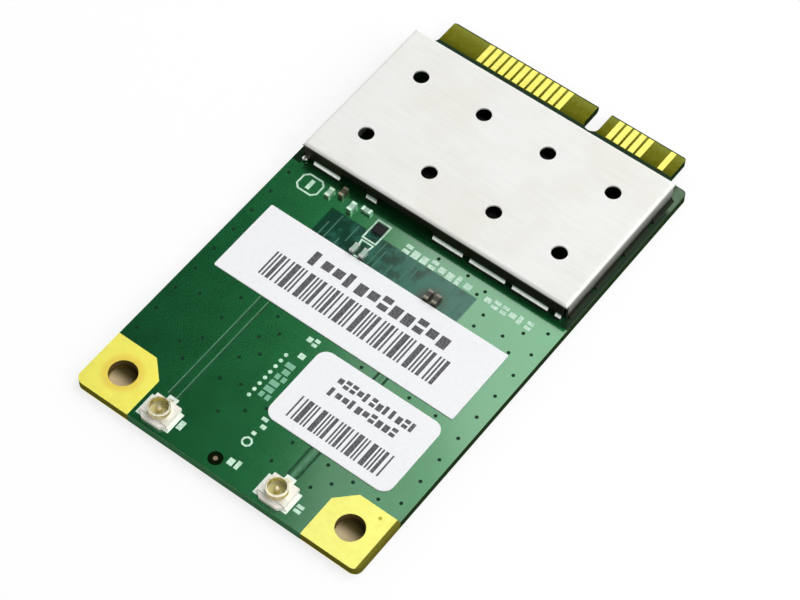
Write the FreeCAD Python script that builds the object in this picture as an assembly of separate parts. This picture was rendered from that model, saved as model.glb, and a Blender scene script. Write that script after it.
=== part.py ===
import FreeCAD, Part
import math
import os

Vector = FreeCAD.Vector

# Wireless network card for a laptop's full-length mini card slot, in millimetres.
# The card lies flat: +Z is up off the component side, +Y points out of the edge connector,
# and the origin is under the middle of the board.

# Board
board_width = 30.0
board_length = 50.95
board_thickness = 1.0
board_corner_radius = 0.8
shoulder_corner_radius = 0.5
shoulder_radius_share = 0.4  # of the shoulder's width, at most
finish_depth = 0.05  # copper and mask together: bare laminate lies this much lower

# Edge connector
finger_pitch = 0.8
finger_width = 0.55
finger_length = 2.3
finger_tip_gap = 0.3
short_side_fingers = 8
long_side_fingers = 18
key_finger_gap = 4.0  # between the middles of the two fingers beside the key notch
tongue_end_margin = 1.25  # from the outermost finger's middle to the tongue's end
tongue_length = 3.2
tongue_corner_radius = 0.4
tongue_root_radius = 0.5
tongue_bare_length = 2.7
key_notch_width = 1.5
key_notch_depth = 2.9
tip_bevel_length = 0.25
tip_bevel_depth = 0.2
# Plated positions by their number, counted from the short side, odd ones on top
top_fingers = (1, 7, 9, 11, 13, 15, 21, 23, 25, 27, 29, 31, 33, 35, 37, 39, 41, 43)
bottom_fingers = (2, 4, 6, 18, 20, 22, 24, 26, 28, 34, 40, 44, 48, 50, 52)

# Screw pads
screw_hole_diameter = 2.6
screw_hole_inset = 2.9
screw_pad_size = 5.8
screw_pad_chamfer = 1.65

# Shield can
can_side_margin = 0.7
can_back_margin = 1.1
can_depth = 16.65
can_height = 2.05
can_sheet = 0.2
can_bend_radius = 0.35
can_corner_relief = 0.35
vent_diameter = 1.5
vent_columns = 4
vent_rows = 2
vent_pitch_x = 7.0
vent_pitch_y = 8.1
foot_notch_width = 0.6
foot_notch_height = 0.35
foot_notch_pitch = 4.4
foot_notch_corner_margin = 1.0
front_notch_pitch = 4.55
front_left_foot = 0.65  # from the can's left corner to the front wall's first notch
front_right_foot = 1.1
feed_opening_height = 0.95
feed_opening_x = -8.6
feed_opening_width = 2.8
wide_opening_x = -2.9
wide_opening_width = 6.0
solder_width = 0.32
solder_height = 0.45
solder_end_gap = 0.08
solder_hollow = 0.38  # share of the fillet left at its middle

# Labels
label_thickness = 0.1
parts_strip = 5.85  # between the can's front wall and the large label
large_label_left_margin = 1.85
large_label_right_margin = 2.45
large_label_height = 8.0
large_label_corner = 0.15
label_gap = 0.95
small_label_width = 12.9
small_label_right_margin = 2.4
small_label_pad_gap = 1.2
small_label_corner = 1.05

# Antenna sockets
socket_size = 2.6
socket_plate_height = 0.4
socket_height = 1.25
socket_ring_diameter = 2.0
socket_ring_wall = 0.16
socket_rim_bead = 0.06
socket_flange = 0.1
socket_tab_width = 1.7
socket_tab_span = 3.2
socket_land_span = 3.5
socket_land_length = 2.2
socket_land_tuck = 0.35  # how far a land reaches in under the socket
socket_pin_diameter = 0.5
socket_pin_height = 1.05
socket_strip_height = 0.12
socket_strip_length = 1.6
socket_chamfer = 0.35
socket_edge_distance = 1.75
left_socket_gap = 0.35
right_socket_gap = 2.0

# Fiducial
fiducial_x = -0.7
fiducial_edge_distance = 1.25
fiducial_opening = 1.35
fiducial_diameter = 0.42

# Chip parts: length, width and height of a body with its two metal ends
small_part_length = 1.0
small_part_width = 0.5
small_part_height = 0.5
small_part_end = 0.25
end_wrap = 0.02
resistor_height = 0.35
part_gap = 0.75
can_inner_margin = 0.8  # between the can's side walls and the first and last chips

# Chip parts in front of the can: middle from the can's left corner and gap to the can's solder
feed_capacitor_inset = 5.4
feed_capacitor_gap = 0.25
shunt_capacitor_inset = 6.95
shunt_capacitor_gap = 1.05
bias_resistor_inset = 4.4
bias_resistor_gap = 0.95
series_resistor_inset = 8.2
series_resistor_gap = 0.75
supply_capacitor_x = 4.0
supply_capacitor_pitch = 0.85
control_capacitor_pitch = 1.0
label_part_gap = 0.15

# Antenna switch in front of the can
antenna_switch_size = 1.1
antenna_switch_height = 0.45
antenna_switch_pad = 0.35
antenna_switch_lead_pitch = 0.4
antenna_switch_lead_width = 0.2
antenna_switch_lead_length = 0.22
antenna_switch_x = -3.95
antenna_switch_can_gap = 1.75

# Chips inside the can
chip_lead_height = 0.2
chip_edge_bevel = 0.08
radio_size = 9.0
radio_height = 0.85
radio_lead_pitch = 0.5
radio_lead_width = 0.25
radio_lead_length = 0.4
radio_leads_per_side = 16
radio_pad_size = 6.0
amplifier_size = 3.0
amplifier_height = 0.85
amplifier_pad_size = 1.6
switch_size = 2.0
switch_height = 0.7
switch_pad_size = 0.7
balun_length = 2.0
balun_width = 1.25
balun_height = 0.9
balun_end = 0.3
front_end_lead_pitch = 0.65
front_end_lead_width = 0.3
front_end_lead_length = 0.4
crystal_length = 3.2
crystal_width = 2.5
crystal_base_height = 0.5
crystal_lid_height = 0.2
crystal_lid_inset = 0.2
crystal_lid_corner = 0.2
memory_length = 4.4
memory_width = 3.0
memory_height = 0.95
memory_lead_span = 6.4
memory_lead_pitch = 0.65
memory_lead_width = 0.25
regulator_length = 2.9
regulator_width = 1.6
regulator_height = 1.0
regulator_lead_span = 2.8
regulator_lead_pitch = 0.95
regulator_lead_width = 0.4
gull_lead_sheet = 0.13
gull_chip_standoff = 0.08
inductor_length = 2.0
inductor_width = 1.6
inductor_height = 1.0
inductor_end = 0.4
decoupling_count = 8
decoupling_pitch = 1.05

# Places that follow from the sizes above
tip_y = board_length / 2
screw_end_y = -board_length / 2
shoulder_y = tip_y - tongue_length
bare_y = tip_y - tongue_bare_length
tongue_width = (
    (short_side_fingers + long_side_fingers - 2) * finger_pitch
    + key_finger_gap
    + 2 * tongue_end_margin
)
tongue_right = tongue_width / 2
tongue_left = -tongue_width / 2
key_x = (
    tongue_right
    - tongue_end_margin
    - (short_side_fingers - 1) * finger_pitch
    - key_finger_gap / 2
)
can_width = board_width - 2 * can_side_margin
can_left = -can_width / 2
can_back = shoulder_y - can_back_margin
can_front = can_back - can_depth
can_middle = (can_front + can_back) / 2
front_notch_right = can_width / 2 - front_right_foot - foot_notch_width / 2
front_notch_left = -can_width / 2 + front_left_foot + foot_notch_width / 2
# Gaps in the front wall's foot from left to right: middle, width, height
front_gaps = (
    (front_notch_left, foot_notch_width, foot_notch_height),
    (feed_opening_x, feed_opening_width, feed_opening_height),
    (wide_opening_x, wide_opening_width, feed_opening_height),
    (front_notch_right - 2 * front_notch_pitch, foot_notch_width, foot_notch_height),
    (front_notch_right - front_notch_pitch, foot_notch_width, foot_notch_height),
    (front_notch_right, foot_notch_width, foot_notch_height),
)
large_label_top = can_front - parts_strip
large_label_bottom = large_label_top - large_label_height
small_label_top = large_label_bottom - label_gap
small_label_bottom = screw_end_y + screw_pad_size + small_label_pad_gap
screw_hole_x = board_width / 2 - screw_hole_inset
screw_hole_y = screw_end_y + screw_hole_inset
pad_inner_x = board_width / 2 - screw_pad_size
socket_y = screw_end_y + socket_edge_distance
left_socket_x = -pad_inner_x + left_socket_gap + socket_land_span / 2
right_socket_x = pad_inner_x - right_socket_gap - socket_land_span / 2
fiducial_y = screw_end_y + fiducial_edge_distance
antenna_switch_y = can_front - antenna_switch_can_gap - antenna_switch_size / 2


def block(x, y, z, size_x, size_y, size_z):
    corner = Vector(x - size_x / 2, y - size_y / 2, z)
    return Part.makeBox(size_x, size_y, size_z, corner)


def span(x0, x1, y0, y1, z0, z1):
    return Part.makeBox(x1 - x0, y1 - y0, z1 - z0, Vector(x0, y0, z0))


def rod(x, y, z, diameter, height):
    return Part.makeCylinder(diameter / 2, height, Vector(x, y, z))


def group(solids):
    return Part.makeCompound(solids)


def outline_face(corners, z):
    # Each corner is x, y and the radius that rounds it
    tangents = []
    for index, (x, y, radius) in enumerate(corners):
        here = Vector(x, y, z)
        back = corners[index - 1]
        ahead = corners[(index + 1) % len(corners)]
        to_back = Vector(back[0], back[1], z) - here
        to_ahead = Vector(ahead[0], ahead[1], z) - here
        to_back.normalize()
        to_ahead.normalize()
        if radius <= 0:
            tangents.append((here, None, here))
            continue
        half_angle = to_back.getAngle(to_ahead) / 2
        reach = radius / math.tan(half_angle)
        bisector = to_back + to_ahead
        bisector.normalize()
        centre = here + bisector * (radius / math.sin(half_angle))
        tangents.append((here + to_back * reach, centre - bisector * radius, here + to_ahead * reach))
    edges = []
    for index, (start, middle, end) in enumerate(tangents):
        previous_end = tangents[index - 1][2]
        if previous_end.distanceToPoint(start) > 1e-6:
            edges.append(Part.makeLine(previous_end, start))
        if middle is not None:
            edges.append(Part.Arc(start, middle, end).toShape())
    return Part.Face(Part.Wire(edges))


def sheet(corners, z, thickness):
    return outline_face(corners, z).extrude(Vector(0, 0, thickness))


def rounded_sheet(x0, x1, y0, y1, z, thickness, radius):
    corners = [(x0, y0, radius), (x1, y0, radius), (x1, y1, radius), (x0, y1, radius)]
    return sheet(corners, z, thickness)


def profile_along_x(points, x0, x1):
    loop = [Vector(x0, y, z) for y, z in points]
    face = Part.Face(Part.makePolygon(loop + [loop[0]]))
    return face.extrude(Vector(x1 - x0, 0, 0))


def turned(points, x, y, z):
    loop = [Vector(x + radius, y, z + height) for radius, height in points]
    face = Part.Face(Part.makePolygon(loop + [loop[0]]))
    return face.revolve(Vector(x, y, z), Vector(0, 0, 1), 360)


def finger_x(number):
    place = (number - 1) // 2
    x = tongue_right - tongue_end_margin - place * finger_pitch
    if place >= short_side_fingers:
        x -= key_finger_gap - finger_pitch
    return x


def finger_blocks(numbers, z):
    length_middle = tip_y - finger_tip_gap - finger_length / 2
    return [
        block(finger_x(number), length_middle, z, finger_width, finger_length, finish_depth)
        for number in numbers
    ]


def board_blank():
    right = board_width / 2
    shoulder = board_width / 2 - tongue_right
    root = min(tongue_root_radius, shoulder * shoulder_radius_share)
    outer = min(shoulder_corner_radius, shoulder * shoulder_radius_share)
    notch_right = key_x + key_notch_width / 2
    notch_left = key_x - key_notch_width / 2
    notch_end = tip_y - key_notch_depth
    corners = [
        (-right, screw_end_y, board_corner_radius),
        (right, screw_end_y, board_corner_radius),
        (right, shoulder_y, outer),
        (tongue_right, shoulder_y, root),
        (tongue_right, tip_y, tongue_corner_radius),
        (notch_right, tip_y, 0),
        (notch_right, notch_end, key_notch_width / 2),
        (notch_left, notch_end, key_notch_width / 2),
        (notch_left, tip_y, 0),
        (tongue_left, tip_y, tongue_corner_radius),
        (tongue_left, shoulder_y, root),
        (-right, shoulder_y, outer),
    ]
    return sheet(corners, 0, board_thickness)


def pad_prism(side, z, thickness):
    outer_x = side * board_width / 2
    inner_x = side * pad_inner_x
    top_y = screw_end_y + screw_pad_size
    points = [
        (outer_x, screw_end_y),
        (inner_x, screw_end_y),
        (inner_x, top_y - screw_pad_chamfer),
        (inner_x + side * screw_pad_chamfer, top_y),
        (outer_x, top_y),
    ]
    return sheet([(x, y, 0) for x, y in points], z, thickness)


def screw_pad(side, blank):
    # One gold sheet on each face of the board, cut to the board's corner
    hole = rod(side * screw_hole_x, screw_hole_y, 0, screw_hole_diameter, board_thickness)
    return [
        pad_prism(side, z, finish_depth).common(blank).cut(hole)
        for z in (board_thickness - finish_depth, 0)
    ]


def circuit_board(blank, inlays):
    half = tongue_width / 2 + 1
    top = board_thickness - finish_depth
    board = blank.cut([
        span(-half, half, bare_y, tip_y + 1, top, board_thickness),
        span(-half, half, bare_y, tip_y + 1, 0, finish_depth),
    ])
    bevel_start = tip_y - tip_bevel_length
    upper = [
        (bevel_start, top),
        (tip_y + 1, top),
        (tip_y + 1, top - tip_bevel_depth),
        (tip_y, top - tip_bevel_depth),
    ]
    lower_face = finish_depth
    lower = [
        (bevel_start, lower_face),
        (tip_y, lower_face + tip_bevel_depth),
        (tip_y + 1, lower_face + tip_bevel_depth),
        (tip_y + 1, lower_face),
    ]
    board = board.cut([profile_along_x(upper, -half, half), profile_along_x(lower, -half, half)])
    openings = []
    for side in (-1, 1):
        openings.append(pad_prism(side, top, finish_depth))
        openings.append(pad_prism(side, 0, finish_depth))
        openings.append(rod(side * screw_hole_x, screw_hole_y, 0, screw_hole_diameter, board_thickness))
    openings.append(rod(fiducial_x, fiducial_y, top, fiducial_opening, finish_depth))
    return board.cut(openings + inlays)


def foot_intervals(length, gaps):
    # Stretches of a wall's foot between its gaps, from corner relief to corner relief
    edge = length / 2 - can_corner_relief
    start = -edge
    stretches = []
    for middle, width, height in gaps:
        stretches.append((start, middle - width / 2))
        start = middle + width / 2
    stretches.append((start, edge))
    return [(a, b) for a, b in stretches if b - a > 4 * solder_end_gap]


def even_gaps(length):
    count = int((length / 2 - foot_notch_corner_margin) // foot_notch_pitch)
    return [
        (step * foot_notch_pitch, foot_notch_width, foot_notch_height)
        for step in range(-count, count + 1)
    ]


def rounded_top_box(size_x, size_y, height, radius, z):
    box = block(0, can_middle, z, size_x, size_y, height)
    top_edges = [
        edge for edge in box.Edges
        if all(abs(vertex.Z - z - height) < 1e-6 for vertex in edge.Vertexes)
    ]
    return box.makeFillet(radius, top_edges)


def shield_can():
    z = board_thickness
    outer = rounded_top_box(can_width, can_depth, can_height, can_bend_radius, z)
    inner = rounded_top_box(
        can_width - 2 * can_sheet,
        can_depth - 2 * can_sheet,
        can_height - can_sheet,
        can_bend_radius - can_sheet,
        z,
    )
    cuts = [inner]
    for column in range(vent_columns):
        for row in range(vent_rows):
            x = (column - (vent_columns - 1) / 2) * vent_pitch_x
            y = can_middle + (row - (vent_rows - 1) / 2) * vent_pitch_y
            cuts.append(rod(x, y, z + can_height / 2, vent_diameter, can_height))
    relief = 2 * can_corner_relief
    for side_x in (-1, 1):
        for side_y in (-1, 1):
            x = side_x * can_width / 2
            y = can_middle + side_y * can_depth / 2
            cuts.append(block(x, y, z, relief, relief, can_height - can_bend_radius))
    wall = 3 * can_sheet
    for middle, width, height in front_gaps:
        cuts.append(block(middle, can_front, z, width, wall, height))
    for middle, width, height in even_gaps(can_width):
        cuts.append(block(middle, can_back, z, width, wall, height))
    for middle, width, height in even_gaps(can_depth):
        for side in (-1, 1):
            cuts.append(block(side * can_width / 2, can_middle + middle, z, wall, width, height))
    return outer.cut(cuts)


def solder_fillet(start, end):
    # Runs along X with its upright face in the plane y = 0 and its foot on the board
    first = Vector(start, 0, 0)
    foot = Vector(start, -solder_width, 0)
    crest = Vector(start, 0, solder_height)
    middle = Vector(start, -solder_width * solder_hollow, solder_height * solder_hollow)
    wire = Part.Wire([
        Part.makeLine(first, foot),
        Part.Arc(foot, middle, crest).toShape(),
        Part.makeLine(crest, first),
    ])
    return Part.Face(wire).extrude(Vector(end - start, 0, 0))


def shield_solder():
    z = board_thickness
    front = foot_intervals(can_width, front_gaps)
    back = foot_intervals(can_width, even_gaps(can_width))
    sides = foot_intervals(can_depth, even_gaps(can_depth))
    walls = [
        (0, Vector(0, can_front, z), front),
        (180, Vector(0, can_back, z), back),
        (90, Vector(can_width / 2, can_middle, z), sides),
        (-90, Vector(-can_width / 2, can_middle, z), sides),
    ]
    fillets = []
    for turn, place, stretches in walls:
        for start, end in stretches:
            fillet = solder_fillet(start + solder_end_gap, end - solder_end_gap)
            fillet.rotate(Vector(0, 0, 0), Vector(0, 0, 1), turn)
            fillet.translate(place)
            fillets.append(fillet)
    return fillets


def socket_insulator(x, y):
    z = board_thickness
    half = socket_size / 2
    corners = [
        (x - half, y - half + socket_chamfer, 0),
        (x - half + socket_chamfer, y - half, 0),
        (x + half - socket_chamfer, y - half, 0),
        (x + half, y - half + socket_chamfer, 0),
        (x + half, y + half, 0),
        (x - half, y + half, 0),
    ]
    plate = sheet(corners, z, socket_plate_height)
    return plate.cut([
        rod(x, y, z, socket_pin_diameter, socket_plate_height),
        span(
            x - socket_pin_diameter / 2, x + socket_pin_diameter / 2,
            y, y + half, z, z + socket_strip_height,
        ),
    ])


def socket_shell(x, y):
    base = board_thickness + socket_plate_height
    outer = socket_ring_diameter / 2
    inner = outer - socket_ring_wall
    top = socket_height - socket_plate_height
    ring = turned(
        [
            (inner, 0),
            (outer, 0),
            (outer, top * 0.45),
            (outer - socket_rim_bead, top * 0.6),
            (outer, top * 0.75),
            (outer, top * 0.9),
            (outer - socket_rim_bead, top),
            (inner, top),
        ],
        x, y, base,
    )
    half = socket_size / 2
    strap = block(x, y, base, socket_size + 2 * socket_flange, socket_tab_width, socket_flange)
    strap = strap.cut(rod(x, y, base, 2 * outer - socket_ring_wall, socket_flange))
    legs = []
    for side in (-1, 1):
        leg_x = x + side * (half + socket_flange / 2)
        legs.append(block(leg_x, y, board_thickness, socket_flange, socket_tab_width, socket_plate_height))
        foot_length = socket_tab_span / 2 - half
        foot_middle = x + side * (half + foot_length / 2)
        legs.append(block(foot_middle, y, board_thickness, foot_length, socket_tab_width, socket_flange))
    return ring.fuse([strap] + legs).removeSplitter()


def socket_pin(x, y):
    z = board_thickness
    radius = socket_pin_diameter / 2
    stem = turned(
        [
            (0, 0),
            (radius, 0),
            (radius, socket_pin_height - radius * 0.5),
            (radius * 0.6, socket_pin_height),
            (0, socket_pin_height),
        ],
        x, y, z,
    )
    strip = span(x - radius, x + radius, y, y + socket_strip_length, z, z + socket_strip_height)
    return stem.fuse(strip).removeSplitter()


def socket_lands(x, y):
    z = board_thickness - finish_depth
    inner = socket_size / 2 - socket_land_tuck
    width = socket_land_span / 2 - inner
    lands = [
        block(x + side * (inner + width / 2), y, z, width, socket_land_length, finish_depth)
        for side in (-1, 1)
    ]
    feed_y = y + socket_size / 2 + (socket_strip_length - socket_size / 2) / 2
    lands.append(block(x, feed_y, z, 2 * socket_pin_diameter, 2 * socket_pin_diameter, finish_depth))
    return lands


def chip_part(x, y, length, width, height, end, along_y):
    # A body between two metal ends that wrap it; the ends stand on the board
    z = board_thickness
    body_length = length - 2 * end
    body = block(0, 0, end_wrap, body_length, width - 2 * end_wrap, height - 2 * end_wrap)
    ends = [
        block(side * (length - end) / 2, 0, 0, end, width, height)
        for side in (-1, 1)
    ]
    for solid in [body] + ends:
        if along_y:
            solid.rotate(Vector(0, 0, 0), Vector(0, 0, 1), 90)
        solid.translate(Vector(x, y, z))
    return body, ends


def small_parts(places, height):
    bodies = []
    ends = []
    for x, y, along_y in places:
        body, pair = chip_part(
            x, y, small_part_length, small_part_width, height, small_part_end, along_y
        )
        bodies.append(body)
        ends.extend(pair)
    return bodies, ends


def bevelled_block(x, y, z, size_x, size_y, height):
    body = block(x, y, z, size_x, size_y, height)
    top_edges = [
        edge for edge in body.Edges
        if all(abs(vertex.Z - z - height) < 1e-6 for vertex in edge.Vertexes)
    ]
    return body.makeChamfer(chip_edge_bevel, top_edges)


def leadless_chip(x, y, size, height, per_side, pitch, lead_width, lead_length, pad_size):
    # The moulded body stands on its own row of flat leads and a middle pad
    z = board_thickness
    body = bevelled_block(x, y, z + chip_lead_height, size, size, height - chip_lead_height)
    leads = [block(x, y, z, pad_size, pad_size, chip_lead_height)]
    for step in range(per_side):
        offset = (step - (per_side - 1) / 2) * pitch
        for side in (-1, 1):
            reach = side * (size - lead_length) / 2
            leads.append(block(x + reach, y + offset, z, lead_length, lead_width, chip_lead_height))
            leads.append(block(x + offset, y + reach, z, lead_width, lead_length, chip_lead_height))
    return body, leads


def gull_lead(x, y, side, body_half, span_half, height, width):
    # A bent strip from the body's side face down to a foot on the board
    z = board_thickness
    middle = height / 2
    reach = span_half - body_half
    knee = body_half + reach * 0.35
    shin = body_half + reach * 0.5
    points = [
        (body_half, middle),
        (knee + gull_lead_sheet, middle),
        (shin + gull_lead_sheet, gull_lead_sheet),
        (span_half, gull_lead_sheet),
        (span_half, 0),
        (shin, 0),
        (knee, middle - gull_lead_sheet),
        (body_half, middle - gull_lead_sheet),
    ]
    loop = [(y + side * out, z + up) for out, up in points]
    return profile_along_x(loop, x - width / 2, x + width / 2)


def gull_chip(x, y, size_x, size_y, height, lead_span, offsets_back, offsets_front, lead_width):
    z = board_thickness + gull_chip_standoff
    body = bevelled_block(x, y, z, size_x, size_y, height - gull_chip_standoff)
    leads = [
        gull_lead(x + offset, y, 1, size_y / 2, lead_span / 2, height, lead_width)
        for offset in offsets_back
    ]
    leads += [
        gull_lead(x + offset, y, -1, size_y / 2, lead_span / 2, height, lead_width)
        for offset in offsets_front
    ]
    return body, leads


def even_offsets(count, pitch):
    return [(step - (count - 1) / 2) * pitch for step in range(count)]


def inner_columns():
    # Column middles under the can, in the order the signal passes, spread from wall to wall
    widths = [
        ("balun", max(balun_width, switch_size)),
        ("amplifier", amplifier_size),
        ("radio", radio_size),
        ("crystal", max(crystal_length, regulator_length, inductor_length)),
        ("memory", memory_width),
    ]
    room = can_width - 2 * can_sheet - 2 * can_inner_margin
    gap = (room - sum(width for name, width in widths)) / (len(widths) - 1)
    x = -room / 2
    middles = {}
    for name, width in widths:
        middles[name] = x + width / 2
        x += width + gap
    return middles


blank = board_blank()
sockets = {"left": (left_socket_x, socket_y), "right": (right_socket_x, socket_y)}
columns = inner_columns()
nodes = {}

# Board, connector and screw pads
land_solids = []
for socket_place in sockets.values():
    land_solids += socket_lands(*socket_place)
nodes["circuit_board"] = circuit_board(blank, land_solids)
nodes["contacts_top"] = group(finger_blocks(top_fingers, board_thickness - finish_depth))
nodes["contacts_bottom"] = group(finger_blocks(bottom_fingers, 0))
nodes["screw_pad_left"] = group(screw_pad(-1, blank))
nodes["screw_pad_right"] = group(screw_pad(1, blank))
nodes["fiducial_dot"] = rod(
    fiducial_x, fiducial_y, board_thickness - finish_depth, fiducial_diameter, finish_depth
)

# Shield can
nodes["shield_can"] = shield_can()
nodes["shield_solder"] = group(shield_solder())

# Labels
nodes["large_label"] = rounded_sheet(
    -board_width / 2 + large_label_left_margin,
    board_width / 2 - large_label_right_margin,
    large_label_bottom,
    large_label_top,
    board_thickness,
    label_thickness,
    large_label_corner,
)
nodes["small_label"] = rounded_sheet(
    board_width / 2 - small_label_right_margin - small_label_width,
    board_width / 2 - small_label_right_margin,
    small_label_bottom,
    small_label_top,
    board_thickness,
    label_thickness,
    small_label_corner,
)

# Antenna sockets
for side_name, (socket_x, socket_middle_y) in sockets.items():
    nodes["socket_insulator_" + side_name] = socket_insulator(socket_x, socket_middle_y)
    nodes["socket_shell_" + side_name] = socket_shell(socket_x, socket_middle_y)
    nodes["socket_pin_" + side_name] = socket_pin(socket_x, socket_middle_y)
nodes["socket_lands"] = group(land_solids)

# Parts in front of the can
body, leads = leadless_chip(
    antenna_switch_x, antenna_switch_y, antenna_switch_size, antenna_switch_height,
    2, antenna_switch_lead_pitch, antenna_switch_lead_width, antenna_switch_lead_length, antenna_switch_pad,
)
nodes["antenna_switch"] = body
nodes["antenna_switch_leads"] = group(leads)
front_row = can_front - solder_width
label_row = large_label_top + label_part_gap + small_part_length / 2
front_capacitor_places = [
    (can_left + feed_capacitor_inset, front_row - feed_capacitor_gap - small_part_length / 2, True),
    (can_left + shunt_capacitor_inset, front_row - shunt_capacitor_gap - small_part_length / 2, True),
    (antenna_switch_x - control_capacitor_pitch / 2, label_row, True),
    (antenna_switch_x + control_capacitor_pitch / 2, label_row, True),
    (supply_capacitor_x - supply_capacitor_pitch / 2, label_row, True),
    (supply_capacitor_x + supply_capacitor_pitch / 2, label_row, True),
]
front_resistor_places = [
    (can_left + bias_resistor_inset, front_row - bias_resistor_gap - small_part_length / 2, True),
    (can_left + series_resistor_inset, front_row - series_resistor_gap - small_part_width / 2, False),
]
bodies, ends = small_parts(front_capacitor_places, small_part_height)
nodes["front_capacitors"] = group(bodies)
nodes["front_capacitor_ends"] = group(ends)
bodies, ends = small_parts(front_resistor_places, resistor_height)
nodes["front_resistors"] = group(bodies)
nodes["front_resistor_ends"] = group(ends)

# Radio chip under the can
body, leads = leadless_chip(
    columns["radio"], can_middle, radio_size, radio_height,
    radio_leads_per_side, radio_lead_pitch, radio_lead_width, radio_lead_length, radio_pad_size,
)
nodes["radio_chip"] = body
nodes["radio_chip_leads"] = group(leads)

# Antenna side: amplifiers, baluns and the transmit and receive switch
pair_y = switch_size / 2 + part_gap + amplifier_size / 2
front_end_leads = []
for number, side in ((1, 1), (2, -1)):
    body, leads = leadless_chip(
        columns["amplifier"], can_middle + side * pair_y, amplifier_size, amplifier_height,
        3, front_end_lead_pitch, front_end_lead_width, front_end_lead_length, amplifier_pad_size,
    )
    nodes["power_amplifier_%d" % number] = body
    front_end_leads += leads
body, leads = leadless_chip(
    columns["balun"], can_middle, switch_size, switch_height,
    2, front_end_lead_pitch, front_end_lead_width, front_end_lead_length, switch_pad_size,
)
nodes["duplex_switch"] = body
nodes["front_end_leads"] = group(front_end_leads + leads)
balun_bodies = []
balun_ends = []
for side in (1, -1):
    body, ends = chip_part(
        columns["balun"], can_middle + side * pair_y, balun_length, balun_width, balun_height, balun_end, True
    )
    balun_bodies.append(body)
    balun_ends += ends
nodes["baluns"] = group(balun_bodies)
nodes["balun_ends"] = group(balun_ends)

# Clock and supply side: crystal, inductor, regulator and memory
crystal_y = can_middle - inductor_width / 2 - part_gap - crystal_width / 2
nodes["crystal_base"] = block(
    columns["crystal"], crystal_y, board_thickness, crystal_length, crystal_width, crystal_base_height
)
nodes["crystal_lid"] = rounded_sheet(
    columns["crystal"] - crystal_length / 2 + crystal_lid_inset,
    columns["crystal"] + crystal_length / 2 - crystal_lid_inset,
    crystal_y - crystal_width / 2 + crystal_lid_inset,
    crystal_y + crystal_width / 2 - crystal_lid_inset,
    board_thickness + crystal_base_height,
    crystal_lid_height,
    crystal_lid_corner,
)
body, ends = chip_part(
    columns["crystal"], can_middle, inductor_length, inductor_width, inductor_height, inductor_end, False
)
nodes["power_inductor"] = body
nodes["inductor_ends"] = group(ends)
body, leads = gull_chip(
    columns["crystal"],
    can_middle + inductor_width / 2 + part_gap + regulator_lead_span / 2,
    regulator_length, regulator_width, regulator_height, regulator_lead_span,
    [-regulator_lead_pitch, regulator_lead_pitch],
    even_offsets(3, regulator_lead_pitch),
    regulator_lead_width,
)
nodes["voltage_regulator"] = body
nodes["regulator_leads"] = group(leads)
body, leads = gull_chip(
    columns["memory"], can_middle, memory_width, memory_length, memory_height, memory_lead_span,
    even_offsets(4, memory_lead_pitch),
    even_offsets(4, memory_lead_pitch),
    memory_lead_width,
)
nodes["memory_chip"] = body
nodes["memory_leads"] = group(leads)

# Decoupling capacitors in a row each side of the radio chip, resistors by the other chips
row_offset = radio_size / 2 + part_gap + small_part_length / 2
inner_capacitor_places = [
    (columns["radio"] + offset, can_middle + side * row_offset, True)
    for side in (-1, 1)
    for offset in even_offsets(decoupling_count, decoupling_pitch)
]
inner_capacitor_places += [
    (columns["amplifier"] + offset, can_middle, True)
    for offset in even_offsets(2, decoupling_pitch)
]
memory_row = memory_lead_span / 2 + part_gap + small_part_length / 2
inner_resistor_places = [
    (columns["memory"] + offset, can_middle + side * memory_row, True)
    for side in (-1, 1)
    for offset in even_offsets(2, decoupling_pitch)
]
bodies, ends = small_parts(inner_capacitor_places, small_part_height)
nodes["inner_capacitors"] = group(bodies)
nodes["inner_capacitor_ends"] = group(ends)
bodies, ends = small_parts(inner_resistor_places, resistor_height)
nodes["inner_resistors"] = group(bodies)
nodes["inner_resistor_ends"] = group(ends)

# Export
here = os.path.dirname(os.path.abspath(__file__))
folder = os.path.join(here, "parts")
os.makedirs(folder, exist_ok=True)
for name in os.listdir(folder):
    if name.endswith(".step"):
        os.remove(os.path.join(folder, name))
for name, shape in nodes.items():
    shape.exportStep(os.path.join(folder, name + ".step"))
    box = shape.BoundBox
    print(
        "%-22s solids %3d valid %s volume %8.3f z %.2f..%.2f"
        % (name, len(shape.Solids), shape.isValid(), shape.Volume, box.ZMin, box.ZMax)
    )
print(len(nodes), "nodes")
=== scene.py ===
import bmesh
import bpy
import math
from mathutils import Matrix, Vector


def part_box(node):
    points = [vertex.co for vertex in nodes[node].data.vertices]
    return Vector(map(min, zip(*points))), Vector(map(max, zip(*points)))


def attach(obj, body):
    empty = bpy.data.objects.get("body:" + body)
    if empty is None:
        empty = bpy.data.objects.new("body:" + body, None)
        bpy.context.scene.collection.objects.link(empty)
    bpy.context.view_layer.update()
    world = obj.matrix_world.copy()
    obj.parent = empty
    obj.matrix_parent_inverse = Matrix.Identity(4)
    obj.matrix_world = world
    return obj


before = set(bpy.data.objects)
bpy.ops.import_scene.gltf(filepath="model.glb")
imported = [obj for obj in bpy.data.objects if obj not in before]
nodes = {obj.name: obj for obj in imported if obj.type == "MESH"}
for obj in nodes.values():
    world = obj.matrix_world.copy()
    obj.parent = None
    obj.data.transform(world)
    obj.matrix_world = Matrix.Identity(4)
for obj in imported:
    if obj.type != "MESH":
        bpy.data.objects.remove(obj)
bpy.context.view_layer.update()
mm = 0.001
print("stage: frame loaded,", len(nodes), "nodes")

boardLow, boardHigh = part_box("circuit_board")
canLow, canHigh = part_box("shield_can")
boardTop = boardHigh.z
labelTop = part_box("large_label")[1].z


def inMm(values):
    return tuple(value * mm for value in values)


# Camera

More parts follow.
